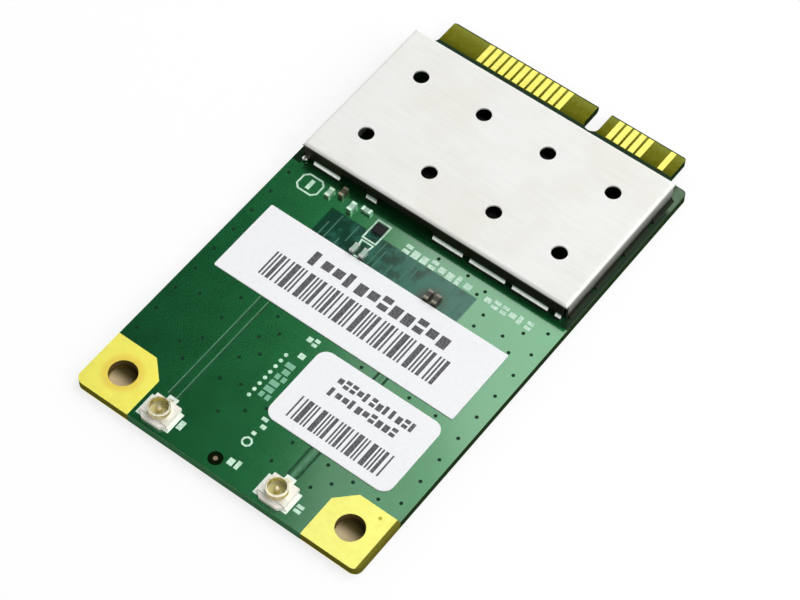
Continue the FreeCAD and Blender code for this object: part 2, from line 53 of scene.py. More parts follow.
cameraPlace = {
    "azimuth": 36.09,
    "elevation": 56.155,
    "roll": 1.41,
    "distance": 226.99 * mm,
    "target": Vector((1.823, -2.410, 1.0)) * mm,
    "lens": 119.01,
    "sensor": 36.0,
    "clip": (0.01, 10),
}


def addCamera(place):
    turn = math.radians(place["azimuth"])
    tilt = math.radians(place["elevation"])
    roll = math.radians(place["roll"])
    back = Vector((math.sin(turn) * math.cos(tilt), -math.cos(turn) * math.cos(tilt), math.sin(tilt)))
    right = Vector((math.cos(turn), math.sin(turn), 0))
    up = back.cross(right)
    rolledRight = right * math.cos(roll) + up * math.sin(roll)
    rolledUp = up * math.cos(roll) - right * math.sin(roll)
    facing = Matrix((rolledRight, rolledUp, back)).transposed()
    bpy.ops.object.camera_add(
        location=place["target"] + back * place["distance"], rotation=facing.to_euler()
    )
    camera = bpy.context.object
    camera.name = "photoCamera"
    camera.data.lens = place["lens"]
    camera.data.sensor_width = place["sensor"]
    camera.data.clip_start, camera.data.clip_end = place["clip"]
    bpy.context.scene.camera = camera


addCamera(cameraPlace)
bpy.context.scene.view_settings.view_transform = "Standard"
print("stage: camera set")

# Node helpers

softEdge = 0.05 * mm  # blur of a painted border
fineBump = 0.004 * mm
noiseBand = (0.3, 0.7)  # where most of a noise lies
wearBand = (0.4, 0.75)
patchBand = (0.4, 0.7)


def startMaterial(name):
    material = bpy.data.materials.new(name)
    material.use_nodes = True
    tree = material.node_tree
    tree.nodes.clear()
    output = tree.nodes.new("ShaderNodeOutputMaterial")
    shader = tree.nodes.new("ShaderNodeBsdfPrincipled")
    tree.links.new(shader.outputs["BSDF"], output.inputs["Surface"])
    return material, tree, shader


def objectPoint(tree):
    return tree.nodes.new("ShaderNodeTexCoord").outputs["Object"]


def stretched(tree, point, scale):
    mapping = tree.nodes.new("ShaderNodeMapping")
    mapping.inputs["Scale"].default_value = scale
    tree.links.new(point, mapping.inputs["Vector"])
    return mapping.outputs["Vector"]


def noise(tree, point, scale, detail=4, rough=0.55):
    node = tree.nodes.new("ShaderNodeTexNoise")
    node.inputs["Scale"].default_value = scale
    node.inputs["Detail"].default_value = detail
    node.inputs["Roughness"].default_value = rough
    tree.links.new(point, node.inputs["Vector"])
    return node.outputs["Fac"]


# a smooth step from low to high, falling where low is the larger
def between(tree, value, low, high, newLow=0.0, newHigh=1.0):
    node = tree.nodes.new("ShaderNodeMapRange")
    node.interpolation_type = "SMOOTHSTEP"
    node.inputs["From Min"].default_value = low
    node.inputs["From Max"].default_value = high
    node.inputs["To Min"].default_value = newLow
    node.inputs["To Max"].default_value = newHigh
    tree.links.new(value, node.inputs["Value"])
    return node.outputs["Result"]


def sums(tree, operation, *values):
    node = tree.nodes.new("ShaderNodeMath")
    node.operation = operation
    for socket, value in zip(node.inputs, values):
        if isinstance(value, (int, float)):
            socket.default_value = value
        else:
            tree.links.new(value, socket)
    return node.outputs["Value"]


def blendColours(tree, factor, first, second):
    node = tree.nodes.new("ShaderNodeMix")
    node.data_type = "RGBA"
    tree.links.new(factor, node.inputs["Factor"])
    for socket, colour in zip((node.inputs[6], node.inputs[7]), (first, second)):
        if isinstance(colour, tuple):
            socket.default_value = (*colour, 1)
        else:
            tree.links.new(colour, socket)
    return node.outputs[2]


def axes(tree, point):
    node = tree.nodes.new("ShaderNodeSeparateXYZ")
    tree.links.new(point, node.inputs["Vector"])
    return node.outputs["X"], node.outputs["Y"], node.outputs["Z"]


def inBox(tree, x, y, box, soft):
    left, low, right, high = inMm(box)
    pastLeft = between(tree, x, left - soft, left + soft)
    beforeRight = between(tree, x, right + soft, right - soft)
    inside = sums(tree, "MULTIPLY", pastLeft, beforeRight)
    inside = sums(tree, "MULTIPLY", inside, between(tree, y, low - soft, low + soft))
    return sums(tree, "MULTIPLY", inside, between(tree, y, high + soft, high - soft))


def lengthOf(tree, alongX, alongY):
    squareY = sums(tree, "MULTIPLY", alongY, alongY)
    return sums(tree, "SQRT", sums(tree, "MULTIPLY_ADD", alongX, alongX, squareY))


def distanceFrom(tree, x, y, place):
    alongX = sums(tree, "SUBTRACT", x, place[0] * mm)
    alongY = sums(tree, "SUBTRACT", y, place[1] * mm)
    return lengthOf(tree, alongX, alongY)


def tinted(tree, x, y, colour, tints):
    for box, tint in tints:
        colour = blendColours(tree, inBox(tree, x, y, box, softEdge), colour, tint)
    return colour


def setRough(tree, shader, pattern, low, high):
    tree.links.new(between(tree, pattern, *noiseBand, low, high), shader.inputs["Roughness"])


def setBump(tree, shader, height, strength, depth):
    node = tree.nodes.new("ShaderNodeBump")
    node.inputs["Strength"].default_value = strength
    node.inputs["Distance"].default_value = depth
    tree.links.new(height, node.inputs["Height"])
    tree.links.new(node.outputs["Normal"], shader.inputs["Normal"])


def dress(nodeNames, material):
    for name in nodeNames:
        materials = nodes[name].data.materials
        materials.clear()
        materials.append(material)


# Board: green mask over copper, bare laminate in the recesses and on the edges

boardLook = {
    "copperGreen": (0.016, 0.170, 0.053),
    "copperGreenDeep": (0.014, 0.156, 0.047),
    "copperGrain": 420,
    "bareGreen": (0.006, 0.044, 0.024),
    "bareTeal": (0.024, 0.135, 0.092),
    "bareGrain": 800,
    "bareBand": (0.36, 0.64),
    "bareLean": (22, 0.04),  # paler towards the right
    "barePatch": (-8.8, -1.9, 7.0, 1.75),
    "patchSoft": 0.10,
    "bareCoat": 0.35,
    "darkSpotBrown": (0.052, 0.060, 0.040),
    "darkSpotPlace": (3.9, -0.8),
    "darkSpotRadii": (1.8, 0.5),
    "stripGreen": (0.009, 0.030, 0.013),
    "backStrip": (-15.1, 21.1, 15.1, 23.2),
    "sideStrip": (14.1, 3.8, 15.1, 21.2),
    "stripCoat": 0.12,
    "backCoat": 0.35,
    "cornerGreen": (0.105, 0.165, 0.100),
    "cornerPatch": (13.9, 19.4, 15.1, 22.4),
    "cornerSoft": 0.40,
    "viaPitch": 2.7,
    "viaRadii": (0.20, 0.14),
    "viaHeights": (0.10, 0.05),
    "laminate": (0.125, 0.115, 0.003),
    "laminatePale": (0.165, 0.175, 0.018),
    "weaveGrain": 2600,
    "weaveStretch": 5,
    "weaveBand": (0.35, 0.65),
    "tongueRootShade": (0.060, 0.064, 0.004),
    "tongueEnd": (0.215, 0.235, 0.036),
    "tongueFade": (22.3, 23.9, 25.6),
    "fiducialGap": (0.004, 0.008, 0.002),
    "fiducialPlace": (-0.7, -24.225),
    "fiducialRadii": (0.9, 0.8),
    "edgeGreen": (0.005, 0.022, 0.010),
    "edgeFront": (0.030, 0.130, 0.060),
    "frontDepths": (0.15, 0.05),
    "edgeOlive": (0.110, 0.100, 0.012),
    "padSides": (9.1, 9.3),
    "padBacks": (-19.6, -19.75),
    "layerGrain": 1400,
    "layerStretch": (1, 1, 9),
    "layerBand": (0.35, 1.6),
    "holeBrown": (0.120, 0.085, 0.030),
    "holeBox": (10.6, -24.1, 13.6, -21.1),
    "upperShares": (0.6, 0.7),  # of the board's thickness
    "recessShares": (0.43, 0.44),
    "faceShares": (0.47, 0.49),
    "metal": 0.82,
    "rough": 0.24,
    "roughSpread": 0.01,
    "coat": 1.0,
    "coatRough": 0.09,
    "coatIndex": 1.78,
    "bumpGrain": 600,
    "bump": 0.05,
    "bumpDepth": 0.008 * mm,
}


def throughBoard(tree, height, shares):
    return between(tree, height, boardTop * shares[0], boardTop * shares[1])


def boardFinish(look):
    material, tree, shader = startMaterial("boardFinish")
    point = objectPoint(tree)
    x, y, z = axes(tree, point)
    farX = sums(tree, "ABSOLUTE", x)
    # masked copper, and the bare patch between the can and the large label
    mottled = noise(tree, point, look["copperGrain"], 3, 0.5)
    mottle = between(tree, mottled, *noiseBand)
    copper = blendColours(tree, mottle, look["copperGreenDeep"], look["copperGreen"])
    upperFace = throughBoard(tree, z, look["upperShares"])
    patch = inBox(tree, x, y, look["barePatch"], look["patchSoft"] * mm)
    patch = sums(tree, "MULTIPLY", upperFace, patch)
    lean = sums(tree, "MULTIPLY_ADD", x, *look["bareLean"])
    clouds = sums(tree, "ADD", noise(tree, point, look["bareGrain"], 4), lean)
    cloudy = between(tree, clouds, *look["bareBand"])
    patchGreen = blendColours(tree, cloudy, look["bareGreen"], look["bareTeal"])
    green = blendColours(tree, patch, copper, patchGreen)
    # a dark brown spot on the patch round the supply capacitors
    toDarkSpot = distanceFrom(tree, x, y, look["darkSpotPlace"])
    darkBrown = sums(tree, "MULTIPLY", patch, between(tree, toDarkSpot, *inMm(look["darkSpotRadii"])))
    green = blendColours(tree, darkBrown, green, look["darkSpotBrown"])
    # dark strips behind and beside the can, lighter where they meet at the back corners
    backStrip = inBox(tree, x, y, look["backStrip"], softEdge)
    sideStrip = inBox(tree, farX, y, look["sideStrip"], softEdge)
    strip = sums(tree, "MULTIPLY", upperFace, sums(tree, "MAXIMUM", backStrip, sideStrip))
    corner = inBox(tree, farX, y, look["cornerPatch"], look["cornerSoft"] * mm)
    corner = sums(tree, "MULTIPLY", upperFace, corner)
    stripGreen = blendColours(tree, corner, look["stripGreen"], look["cornerGreen"])
    green = blendColours(tree, strip, green, stripGreen)
    patchOrStrip = sums(tree, "MAXIMUM", patch, strip)
    # tented vias on the underside, where nothing may stand proud
    alongX = sums(tree, "PINGPONG", x, look["viaPitch"] * mm / 2)
    alongY = sums(tree, "PINGPONG", y, look["viaPitch"] * mm / 2)
    via = between(tree, lengthOf(tree, alongX, alongY), *inMm(look["viaRadii"]))
    via = sums(tree, "MULTIPLY", via, between(tree, z, *inMm(look["viaHeights"])))
    green = blendColours(tree, via, green, look["bareGreen"])
    # glass weave of the laminate
    weave = noise(tree, stretched(tree, point, (1, look["weaveStretch"], 1)), look["weaveGrain"], 3)
    crossWeave = noise(tree, stretched(tree, point, (look["weaveStretch"], 1, 1)), look["weaveGrain"], 3)
    cloth = sums(tree, "MULTIPLY_ADD", weave, 0.5, sums(tree, "MULTIPLY", crossWeave, 0.5))
    woven = between(tree, cloth, *look["weaveBand"])
    laminate = blendColours(tree, woven, look["laminate"], look["laminatePale"])
    # painted shade: the laminate darker towards the tongue's root by the can, and lighter towards its outer
    # end
    rootLine, middleLine, endLine = inMm(look["tongueFade"])
    laminate = blendColours(tree, between(tree, y, middleLine, rootLine), laminate, look["tongueRootShade"])
    laminate = blendColours(tree, between(tree, y, middleLine, endLine), laminate, look["tongueEnd"])
    toFiducial = distanceFrom(tree, x, y, look["fiducialPlace"])
    gap = between(tree, toFiducial, *inMm(look["fiducialRadii"]))
    laminate = blendColours(tree, gap, laminate, look["fiducialGap"])
    # routed edge, lighter and greener in front as painted light, and olive where the screw pads reach it
    besidePad = between(tree, farX, *inMm(look["padSides"]))
    padEdge = sums(tree, "MULTIPLY", besidePad, between(tree, y, *inMm(look["padBacks"])))
    frontEdge = between(tree, y, *(boardLow.y + depth for depth in inMm(look["frontDepths"])))
    edge = blendColours(tree, frontEdge, look["edgeGreen"], look["edgeFront"])
    edge = blendColours(tree, padEdge, edge, look["edgeOlive"])
    layers = noise(tree, stretched(tree, point, look["layerStretch"]), look["layerGrain"], 4)
    edge = blendColours(tree, between(tree, layers, *look["layerBand"]), edge, look["laminatePale"])
    # painted shade: the screw holes' walls dark brown
    inHole = sums(tree, "MULTIPLY", padEdge, inBox(tree, farX, y, look["holeBox"], softEdge))
    edge = blendColours(tree, inHole, edge, look["holeBrown"])
    # edge, recesses and faces put together by height
    fromMiddle = sums(tree, "ABSOLUTE", sums(tree, "SUBTRACT", z, boardTop / 2))
    recessed = throughBoard(tree, fromMiddle, look["recessShares"])
    onFace = throughBoard(tree, fromMiddle, look["faceShares"])
    colour = blendColours(tree, recessed, edge, laminate)
    colour = blendColours(tree, onFace, colour, green)
    tree.links.new(colour, shader.inputs["Base Color"])
    onCopper = sums(tree, "MULTIPLY", onFace, sums(tree, "SUBTRACT", 1, patchOrStrip))
    tree.links.new(sums(tree, "MULTIPLY", onCopper, look["metal"]), shader.inputs["Metallic"])
    setRough(tree, shader, mottled, look["rough"] - look["roughSpread"], look["rough"] + look["roughSpread"])
    coat = sums(tree, "MULTIPLY", onFace, between(tree, patch, 0, 1, look["coat"], look["bareCoat"]))
    coat = sums(tree, "MULTIPLY", coat, between(tree, strip, 0, 1, 1, look["stripCoat"]))
    coat = sums(tree, "MULTIPLY", coat, between(tree, backStrip, 0, 1, 1, look["backCoat"]))
    tree.links.new(coat, shader.inputs["Coat Weight"])
    shader.inputs["Coat Roughness"].default_value = look["coatRough"]
    shader.inputs["Coat IOR"].default_value = look["coatIndex"]
    shader.inputs["Specular IOR Level"].default_value = 0
    setBump(tree, shader, noise(tree, point, look["bumpGrain"], 2), look["bump"], look["bumpDepth"])
    return material


# Metals, with a spot or tinted boxes where a piece's colour changes in one place, some of them painted light
# and shade

metalLooks = {
    "goldPlating": {"colour": (0.84, 0.795, 0.18), "worn": (0.81, 0.73, 0.155), "rough": 0.52, "grain": 1500},
    # the two screw pads are one gold, the left painted deeper yellow and the right paler as painted light
    "padGoldLeft": {
        "colour": (0.96, 0.905, 0.165), "worn": (0.94, 0.850, 0.145), "rough": 0.52, "grain": 1500,
        "spot": (-12.1, -22.575), "spotRadii": (2.2, 1.5), "spotColour": (0.90, 0.72, 0.122),
    },
    "padGoldRight": {
        "colour": (0.84, 0.830, 0.225), "worn": (0.82, 0.77, 0.195), "rough": 0.52, "grain": 1500,
        "spot": (13.51, -20.41), "spotRadii": (0.24, 0.072), "spotColour": (0.42, 0.36, 0.04),
        "tints": [((14.70, -26.0, 15.2, -19.0), (0.15, 0.14, 0.014))],
    },
    "landTin": {"colour": (0.80, 0.87, 0.81), "worn": (0.68, 0.77, 0.70), "rough": 0.60, "grain": 3800},
    "pinGold": {"colour": (0.92, 0.84, 0.60), "worn": (0.80, 0.68, 0.40), "rough": 0.30, "grain": 6000},
    "leadTin": {
        "colour": (0.48, 0.51, 0.48), "worn": (0.35, 0.37, 0.35), "rough": 0.42, "grain": 5200,
        # pale mint ends by the can's front wall as painted highlights, darker ends on the feed capacitor
        # there as painted shade, darker ends on the supply capacitors
        "tints": [
            ((-10.6, 1.8, -9.35, 3.8), (0.66, 0.84, 0.66)), ((-9.35, 2.3, -8.2, 4.5), (0.32, 0.30, 0.20)),
            ((-7.95, 1.8, -6.7, 3.8), (0.66, 0.90, 0.74)), ((-6.7, 2.3, -5.2, 4.2), (0.72, 0.96, 0.82)),
            ((3.0, -1.7, 5.0, 0.8), (0.22, 0.21, 0.17)),
        ],
    },
    "copperDot": {"colour": (0.30, 0.22, 0.15), "worn": (0.20, 0.15, 0.10), "rough": 0.45, "grain": 6000},
    "crystalLidMetal": {
        "colour": (0.72, 0.68, 0.56), "worn": (0.60, 0.56, 0.46), "rough": 0.35, "grain": 3000,
    },
}
metalSurface = {
    "smearStretch": (1, 4, 1),
    "smearShare": 0.7,
    "spread": 0.15,
    "bumpShare": 3,
    "bump": 0.15,
}


def metalFinish(name, look, surface):
    material, tree, shader = startMaterial(name)
    point = objectPoint(tree)
    x, y = axes(tree, point)[:2]
    patches = noise(tree, point, look["grain"], 5)
    colour = blendColours(tree, between(tree, patches, *wearBand), look["colour"], look["worn"])
    if "spot" in look:
        toSpot = distanceFrom(tree, x, y, look["spot"])
        spotted = between(tree, toSpot, *inMm(look["spotRadii"]))
        colour = blendColours(tree, spotted, colour, look["spotColour"])
    colour = tinted(tree, x, y, colour, look.get("tints", []))
    tree.links.new(colour, shader.inputs["Base Color"])
    shader.inputs["Metallic"].default_value = 1
    smearPoint = stretched(tree, point, surface["smearStretch"])
    smears = noise(tree, smearPoint, look["grain"] * surface["smearShare"], 4)
    spread = look["rough"] * surface["spread"]
    setRough(tree, shader, smears, look["rough"] - spread, look["rough"] + spread)
    grain = noise(tree, point, look["grain"] * surface["bumpShare"], 4)
    setBump(tree, shader, grain, surface["bump"], fineBump)
    return material


canLook = {
    "colour": (0.865, 0.865, 0.850),
    "warm": (0.845, 0.835, 0.803),
    "cloudGrain": 160,
    "cloudBand": (0.42, 0.72),
    "wall": (0.39, 0.385, 0.355),
    "foldDepths": (0.12, 0.32),
    "darkBrown": (0.075, 0.065, 0.045),
    "frontDepths": (0.45, 0.20),
    "stainTop": 1.85 * mm,
    "stainBlur": 0.25 * mm,
    "stainRagged": 0.40 * mm,
    "stainGrain": 900,
    "stainStretch": (1, 1, 0.4),
    "sideStain": 0.92,
    "rough": 0.84,
    "roughSpread": 0.05,
    "wallRough": 0.40,
    "rollingGrain": 260,
    "rollingStretch": (1, 30, 1),
    "bumpGrain": 1100,
    "bumpStretch": (1, 12, 1),
    "bump": 0.10,
}


# tinplate with rolling lines on top and flux stains low on the walls; the walls are darker than the top with
# painted shade, and the front one is painted dark all over as painted shade
def canFinish(look):
    material, tree, shader = startMaterial("canTinplate")
    point = objectPoint(tree)
    x, y, z = axes(tree, point)
    clouds = noise(tree, point, look["cloudGrain"], 5)
    colour = blendColours(tree, between(tree, clouds, *look["cloudBand"]), look["colour"], look["warm"])
    # painted shade: the walls below the fold darker than the top
    belowFold = between(tree, z, *(canHigh.z - depth for depth in inMm(look["foldDepths"])))
    colour = blendColours(tree, belowFold, colour, look["wall"])
    ragged = noise(tree, stretched(tree, point, look["stainStretch"]), look["stainGrain"], 5)
    ragged = sums(tree, "SUBTRACT", ragged, 0.5)
    height = sums(tree, "MULTIPLY_ADD", ragged, look["stainRagged"], z)
    stainLine = canHigh.z - look["stainTop"]
    low = between(tree, height, stainLine, stainLine - look["stainBlur"], 0.0, look["sideStain"])
    # painted shade: the whole front wall in the same dark brown as the flux stain
    front = between(tree, y, *(canLow.y + depth for depth in inMm(look["frontDepths"])))
    stainAndShade = sums(tree, "MAXIMUM", low, sums(tree, "MULTIPLY", belowFold, front))
    tree.links.new(blendColours(tree, stainAndShade, colour, look["darkBrown"]), shader.inputs["Base Color"])
    shader.inputs["Metallic"].default_value = 1
    rolling = noise(tree, stretched(tree, point, look["rollingStretch"]), look["rollingGrain"], 4)
    smooth, dull = look["rough"] - look["roughSpread"], look["rough"] + look["roughSpread"]
    roughTop = between(tree, rolling, *noiseBand, smooth, dull)
    onTop = sums(tree, "SUBTRACT", 1, belowFold)
    roughWall = sums(tree, "MULTIPLY", belowFold, look["wallRough"])
    tree.links.new(sums(tree, "MULTIPLY_ADD", roughTop, onTop, roughWall), shader.inputs["Roughness"])
    lines = noise(tree, stretched(tree, point, look["bumpStretch"]), look["bumpGrain"], 4)
    setBump(tree, shader, lines, look["bump"], fineBump)
    return material


solderLook = {
    "colour": (0.86, 0.88, 0.86),
    "worn": (0.70, 0.72, 0.70),
    "grain": 3800,
    "stainAndShade": (0.020, 0.024, 0.016),
    "darkSides": (14.15, 14.20),
    "stainAndShadeHeights": (0.15, 0.07),
    "canReach": (-1.0, -0.9),
    "rough": 0.34,
    "roughSpread": 0.05,
    "bumpGrain": 9000,
    "bump": 0.15,
}


# bright solder, darker at its foot round the can with flux stain and painted shade, and dark along the can's
# side walls
def solderFinish(look):
    material, tree, shader = startMaterial("solderTin")
    point = objectPoint(tree)
    x, y, z = axes(tree, point)
    patches = noise(tree, point, look["grain"], 5)
    colour = blendColours(tree, between(tree, patches, *wearBand), look["colour"], look["worn"])
    # dark along the can's side walls
    side = between(tree, sums(tree, "ABSOLUTE", x), *inMm(look["darkSides"]))
    byCan = between(tree, y, *(canLow.y + reach for reach in inMm(look["canReach"])))
    # flux stain and painted shade: the solder's foot darker
    atFoot = between(tree, z, *(boardTop + height for height in inMm(look["stainAndShadeHeights"])))
    stainedAndShaded = sums(tree, "MAXIMUM", side, sums(tree, "MULTIPLY", byCan, atFoot))
    tree.links.new(blendColours(tree, stainedAndShaded, colour, look["stainAndShade"]), shader.inputs["Base Color"])
    shader.inputs["Metallic"].default_value = 1
    setRough(tree, shader, patches, look["rough"] - look["roughSpread"], look["rough"] + look["roughSpread"])
    setBump(tree, shader, noise(tree, point, look["bumpGrain"], 4), look["bump"], fineBump)
    return material


# Antenna sockets

socketLook = {
    "foot": (0.82, 0.81, 0.75),
    "footHeights": (1.50, 1.75),
    "wall": (0.58, 0.49, 0.26),
    "wallWorn": (0.45, 0.36, 0.17),
    "grain": 3600,
    "rubBand": (0.35, 0.75),
    "inside": (0.88, 0.83, 0.50),
    "insideRadii": (0.94, 0.90),
    "rim": (0.92, 0.86, 0.68),
    "rimHeights": (2.09, 2.17),
    "rough": 0.30,
    "footRough": 0.55,
    "roughWear": (-0.06, 0.10),
    "bumpGrain": 7000,
    "bump": 0.12,
    "bumpDepth": 0.003 * mm,
}


def middleOf(node):
    low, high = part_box(node)
    return (low.x + high.x) / 2 / mm, (low.y + high.y) / 2 / mm


# gold ring, its walls darker with painted shade and its rim pale as a painted highlight, paler where its flat
# feet are tinned
def socketFinish(look):
    material, tree, shader = startMaterial("socketGold")
    point = objectPoint(tree)
    x, y, z = axes(tree, point)
    rubbed = noise(tree, point, look["grain"], 5)
    # painted shade: the ring's walls darker gold
    wall = blendColours(tree, between(tree, rubbed, *look["rubBand"]), look["wall"], look["wallWorn"])
    toLeft = distanceFrom(tree, x, y, middleOf("socket_pin_left"))
    toRight = distanceFrom(tree, x, y, middleOf("socket_pin_right"))
    nearest = sums(tree, "MINIMUM", toLeft, toRight)
    wall = blendColours(tree, between(tree, nearest, *inMm(look["insideRadii"])), wall, look["inside"])
    footHeights = inMm(look["footHeights"])
    colour = blendColours(tree, between(tree, z, *footHeights), look["foot"], wall)
    # painted highlight: the top of the rim pale
    colour = blendColours(tree, between(tree, z, *inMm(look["rimHeights"])), colour, look["rim"])
    tree.links.new(colour, shader.inputs["Base Color"])
    shader.inputs["Metallic"].default_value = 1
    rough = between(tree, z, *footHeights, look["footRough"], look["rough"])
    rough = sums(tree, "ADD", rough, between(tree, rubbed, *noiseBand, *look["roughWear"]))
    tree.links.new(rough, shader.inputs["Roughness"])
    setBump(tree, shader, noise(tree, point, look["bumpGrain"], 3), look["bump"], look["bumpDepth"])
    return material


insulatorLook = {
    "colour": (0.86, 0.84, 0.77),
    "patch": (0.78, 0.74, 0.64),
    "grain": 2500,
    "bowlShade": (0.66, 0.62, 0.25),
    "bowlRadii": (0.86, 0.731),
    "rough": 0.42,
    "roughSpread": 0.05,
    "bumpGrain": 5000,
    "bump": 0.2,
}


# ivory plastic, darker with painted shade at the bottom of the ring
def insulatorFinish(name, look, node):
    material, tree, shader = startMaterial(name)
    point = objectPoint(tree)
    x, y = axes(tree, point)[:2]
    patches = noise(tree, point, look["grain"], 5)
    colour = blendColours(tree, between(tree, patches, *patchBand), look["colour"], look["patch"])
    fromMiddle = distanceFrom(tree, x, y, middleOf(node))
    # painted shade at the bottom of the ring
    bowlShade = between(tree, fromMiddle, *inMm(look["bowlRadii"]))
    tree.links.new(blendColours(tree, bowlShade, colour, look["bowlShade"]), shader.inputs["Base Color"])
    setRough(tree, shader, patches, look["rough"] - look["roughSpread"], look["rough"] + look["roughSpread"])
    setBump(tree, shader, noise(tree, point, look["bumpGrain"], 5), look["bump"], fineBump)
    return material


# Paper, ink, plastics and ceramics

solidLooks = {
    "labelPaper": {
        "colour": (0.850, 0.855, 0.870), "patch": (0.825, 0.830, 0.850), "rough": 0.60, "grain": 2600,
    },
    "chipMould": {
        "colour": (0.010, 0.011, 0.011), "patch": (0.024, 0.025, 0.025), "rough": 0.62, "grain": 9000,
        "shine": 0.15,
    },
    "capacitorCeramic": {
        "colour": (0.150, 0.105, 0.060), "patch": (0.090, 0.065, 0.040), "rough": 0.45, "grain": 6000,
        # greenish control capacitors, a pale mint shunt capacitor as a painted highlight, a darker feed
        # capacitor by the can's front wall as painted shade, darker supply capacitors
        "tints": [
            ((-5.4, -2.2, -2.6, 0.3), (0.32, 0.47, 0.38)), ((-7.95, 1.7, -6.6, 3.8), (0.38, 0.57, 0.45)),
            ((-9.35, 2.3, -8.2, 4.5), (0.052, 0.042, 0.020)), ((3.0, -1.7, 5.0, 0.8), (0.030, 0.027, 0.020)),
        ],
    },
    "resistorGlaze": {
        "colour": (0.05, 0.06, 0.055), "patch": (0.09, 0.11, 0.095), "rough": 0.35, "grain": 6000,
        # pale mint on the resistors by the can's front wall, a painted highlight
        "tints": [((-11.0, 1.7, -5.0, 4.2), (0.34, 0.52, 0.40))],
    },
    "balunCeramic": {"colour": (0.70, 0.70, 0.64), "patch": (0.60, 0.60, 0.54), "rough": 0.45, "grain": 6000},
    "crystalCeramic": {
        "colour": (0.05, 0.045, 0.04), "patch": (0.09, 0.08, 0.07), "rough": 0.5, "grain": 6000,
    },
    "ferrite": {"colour": (0.03, 0.03, 0.033), "patch": (0.06, 0.06, 0.065), "rough": 0.6, "grain": 9000},
    "patchTrack": {
        "colour": (0.026, 0.150, 0.090), "patch": (0.016, 0.100, 0.060), "rough": 0.40, "grain": 1800,
    },
    "labelInk": {
        "colour": (0.045, 0.045, 0.052), "patch": (0.16, 0.16, 0.17), "rough": 0.55, "grain": 7000,
    },
    "silkscreenInk": {
        "colour": (0.61, 0.83, 0.68), "patch": (0.38, 0.60, 0.46), "rough": 0.55, "grain": 4500,
        "tints": [((-1.95, -17.4, -0.65, -12.9), (0.17, 0.42, 0.27))],
    },
    "viaMask": {
        "colour": (0.003, 0.022, 0.010), "patch": (0.006, 0.036, 0.017), "rough": 0.45, "grain": 5000,
        "shine": 0.10,
    },
    "feedLinePale": {
        "colour": (0.060, 0.200, 0.100), "patch": (0.030, 0.140, 0.062), "rough": 0.35, "grain": 1800,
    },
    "feedLineDark": {
        "colour": (0.005, 0.048, 0.018), "patch": (0.010, 0.070, 0.028), "rough": 0.40, "grain": 1800,
        "shine": 0.2,
    },
}
solidSurface = {"spread": 0.1, "bumpShare": 2, "bump": 0.2, "shine": 0.5}


def solidFinish(name, look, surface):
    material, tree, shader = startMaterial(name)
    point = objectPoint(tree)
    x, y = axes(tree, point)[:2]
    patches = noise(tree, point, look["grain"], 5)
    colour = blendColours(tree, between(tree, patches, *patchBand), look["colour"], look["patch"])
    colour = tinted(tree, x, y, colour, look.get("tints", []))
    tree.links.new(colour, shader.inputs["Base Color"])
    spread = look["rough"] * surface["spread"]
    setRough(tree, shader, patches, look["rough"] - spread, look["rough"] + spread)
    shader.inputs["Specular IOR Level"].default_value = look.get("shine", surface["shine"])
    grain = noise(tree, point, look["grain"] * surface["bumpShare"], 5)
    setBump(tree, shader, grain, surface["bump"], fineBump)
    return material


finishes = {
    "board": boardFinish(boardLook),
    "canTinplate": canFinish(canLook),
    "solderTin": solderFinish(solderLook),
    "socketGold": socketFinish(socketLook),
    "insulatorLeft": insulatorFinish("insulatorLeft", insulatorLook, "socket_insulator_left"),
    "insulatorRight": insulatorFinish("insulatorRight", insulatorLook, "socket_insulator_right"),
}
for name, look in metalLooks.items():
    finishes[name] = metalFinish(name, look, metalSurface)
for name, look in solidLooks.items():
    finishes[name] = solidFinish(name, look, solidSurface)

finishNodes = {
    "board": ["circuit_board"],
    "goldPlating": ["contacts_top", "contacts_bottom"],
    "padGoldLeft": ["screw_pad_left"],
    "padGoldRight": ["screw_pad_right"],
    "copperDot": ["fiducial_dot"],
    "canTinplate": ["shield_can"],
    "solderTin": ["shield_solder"],
    "landTin": ["socket_lands"],
    "leadTin": [
        "antenna_switch_leads", "front_capacitor_ends", "front_resistor_ends", "radio_chip_leads",
        "front_end_leads", "balun_ends", "inductor_ends", "regulator_leads", "memory_leads",
        "inner_capacitor_ends", "inner_resistor_ends",
    ],
    "labelPaper": ["large_label", "small_label"],
    "insulatorLeft": ["socket_insulator_left"],
    "insulatorRight": ["socket_insulator_right"],
    "socketGold": ["socket_shell_left", "socket_shell_right"],
    "pinGold": ["socket_pin_left", "socket_pin_right"],
    "chipMould": [
        "antenna_switch", "radio_chip", "power_amplifier_1", "power_amplifier_2", "duplex_switch",
        "voltage_regulator", "memory_chip",
    ],
    "capacitorCeramic": ["front_capacitors", "inner_capacitors"],
    "resistorGlaze": ["front_resistors", "inner_resistors"],
    "balunCeramic": ["baluns"],
    "crystalCeramic": ["crystal_base"],
    "crystalLidMetal": ["crystal_lid"],
    "ferrite": ["power_inductor"],
}
for name, nodeNames in finishNodes.items():
    dress(nodeNames, finishes[name])
print("stage: finishes on every node")

# Printed and raised detail

flatAngle = 0.01  # flat cells side by side become one face
dotSides = 14


def deselect():
    bpy.ops.object.select_all(action="DESELECT")


def openAllFaces():
    bpy.ops.object.mode_set(mode="EDIT")
    bpy.ops.mesh.select_mode(type="FACE")
    bpy.ops.mesh.select_all(action="SELECT")


def closePiece():
    bpy.ops.mesh.select_all(action="SELECT")
    bpy.ops.mesh.normals_make_consistent(inside=False)
    bpy.ops.object.mode_set(mode="OBJECT")


def raiseFaces(lift):
    bpy.ops.mesh.select_all(action="SELECT")
    bpy.ops.mesh.extrude_region_move(TRANSFORM_OT_translate={"value": (0, 0, lift)})
    closePiece()


